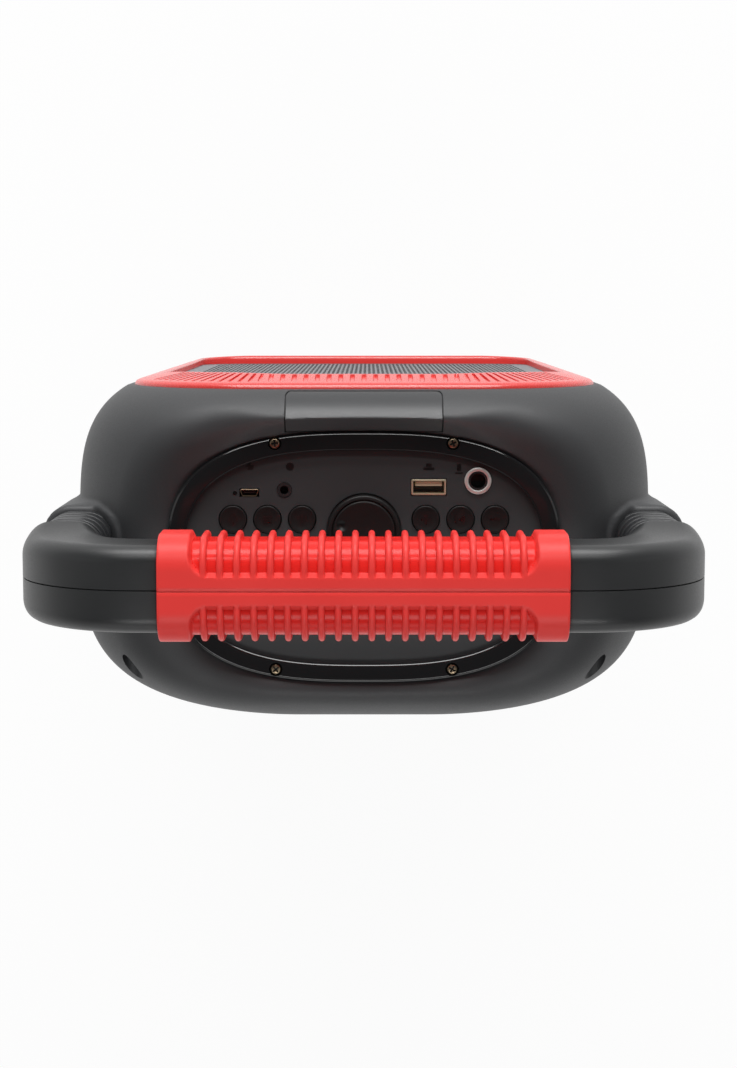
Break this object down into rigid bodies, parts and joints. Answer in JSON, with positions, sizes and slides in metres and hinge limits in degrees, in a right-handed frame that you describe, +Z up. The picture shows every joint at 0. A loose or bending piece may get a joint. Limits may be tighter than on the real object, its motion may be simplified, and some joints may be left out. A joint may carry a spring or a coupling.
{
  "type": "portable party speaker",
  "caption": "Upright portable loudspeaker with a slotted front frame, a sheet grille, a control panel in a dished top and a carrying handle over it.",
  "frame": {"origin": "on the floor under the middle of the bounding box", "axes": "+Z up, front grille towards -Y, +X to the right seen from the front"},
  "size_m": [0.275, 0.1517, 0.474],
  "materials": {
    "cabinet_plastic": "fine matt grain, moulded",
    "inlay_plastic": "satin",
    "coral_plastic": "satin, moulded in colour",
    "grille_paint": "powder coat on perforated sheet",
    "gloss_ring": "polished",
    "panel_plastic": "satin",
    "control_plastic": "satin",
    "black_plastic": "satin",
    "plated_brass": "plated, bright",
    "bronze_screw": "bronze plated",
    "nickel_trim": "bright nickel",
    "zinc_steel": "zinc plated",
    "dark_steel": "black",
    "soft_rubber": "matt",
    "cone_paper": "pressed fibre",
    "spider_cloth": "resin-stiffened cloth",
    "board_green": "solder mask",
    "sink_aluminium": "extruded",
    "battery_wrap": "shrink film",
    "lamp_lens": "clear",
    "white_plastic": "plain"
  },
  "bodies": {
    "housing": {"cabinet": "cabinet_plastic", "front_baffle": "black_plastic", "grille_frame": "coral_plastic", "grille_mesh": "grille_paint", "top_inlay": "inlay_plastic", "trim_ring": "gloss_ring", "control_panel": "panel_plastic", "ring_screws": "bronze_screw", "encoder": "black_plastic", "button_switches": "black_plastic", "control_board": "board_green", "control_screws": "zinc_steel", "usb_shell": "plated_brass", "usb_tongue": "white_plastic", "charge_shell": "plated_brass", "charge_tongue": "black_plastic", "charge_lamp": "lamp_lens", "aux_jack": "black_plastic", "mic_jack": "black_plastic", "mic_ferrule": "nickel_trim", "woofer_basket": "dark_steel", "woofer_gasket": "soft_rubber", "woofer_magnet": "dark_steel", "woofer_yoke": "zinc_steel", "woofer_surround": "soft_rubber", "woofer_spider": "spider_cloth", "woofer_screws": "dark_steel", "tweeter_horn": "black_plastic", "tweeter_dome": "sink_aluminium", "tweeter_magnet": "dark_steel", "bass_ports": "black_plastic", "baffle_screws": "dark_steel", "amplifier_board": "board_green", "heat_sink": "sink_aluminium", "inner_screws": "dark_steel", "battery_pack": "battery_wrap", "battery_strap": "zinc_steel", "handle_front": "black_plastic", "handle_rear": "black_plastic", "grip_front": "coral_plastic", "grip_rear": "coral_plastic", "collar_left": "black_plastic", "collar_right": "black_plastic", "post_left": "black_plastic", "post_right": "black_plastic", "post_screws": "bronze_screw", "handle_screws": "zinc_steel", "rubber_feet": "soft_rubber", "foot_screws": "zinc_steel"},
    "knob": {"volume_knob": "control_plastic", "knob_shaft": "zinc_steel"},
    "cone": {"woofer_cone": "cone_paper", "dust_cap": "cone_paper", "voice_coil": "plated_brass"},
    "button_1_key": {"button_1": "control_plastic"},
    "button_2_key": {"button_2": "control_plastic"},
    "button_3_key": {"button_3": "control_plastic"},
    "button_4_key": {"button_4": "control_plastic"},
    "button_5_key": {"button_5": "control_plastic"},
    "button_6_key": {"button_6": "control_plastic"}
  },
  "joints": [
    {"name": "button_1_press", "type": "slide", "parent": "housing", "child": "button_1_key", "axis": [0, 0, -1], "range_m": [0, 0.001], "stiffness_N_per_m": 600},
    {"name": "button_2_press", "type": "slide", "parent": "housing", "child": "button_2_key", "axis": [0, 0, -1], "range_m": [0, 0.001], "stiffness_N_per_m": 600},
    {"name": "button_3_press", "type": "slide", "parent": "housing", "child": "button_3_key", "axis": [0, 0, -1], "range_m": [0, 0.001], "stiffness_N_per_m": 600},
    {"name": "button_4_press", "type": "slide", "parent": "housing", "child": "button_4_key", "axis": [0, 0, -1], "range_m": [0, 0.001], "stiffness_N_per_m": 600},
    {"name": "button_5_press", "type": "slide", "parent": "housing", "child": "button_5_key", "axis": [0, 0, -1], "range_m": [0, 0.001], "stiffness_N_per_m": 600},
    {"name": "button_6_press", "type": "slide", "parent": "housing", "child": "button_6_key", "axis": [0, 0, -1], "range_m": [0, 0.001], "stiffness_N_per_m": 600},
    {"name": "knob_turn", "type": "hinge", "parent": "housing", "child": "knob", "pos_m": [0, -0.0108, 0.392], "axis": [0, 0, 1], "continuous": true},
    {"name": "cone_move", "type": "slide", "parent": "housing", "child": "cone", "axis": [0, -1, 0], "range_m": [-0.004, 0.004], "stiffness_N_per_m": 1500, "deforming": ["woofer_surround", "woofer_spider"]}
  ]
}
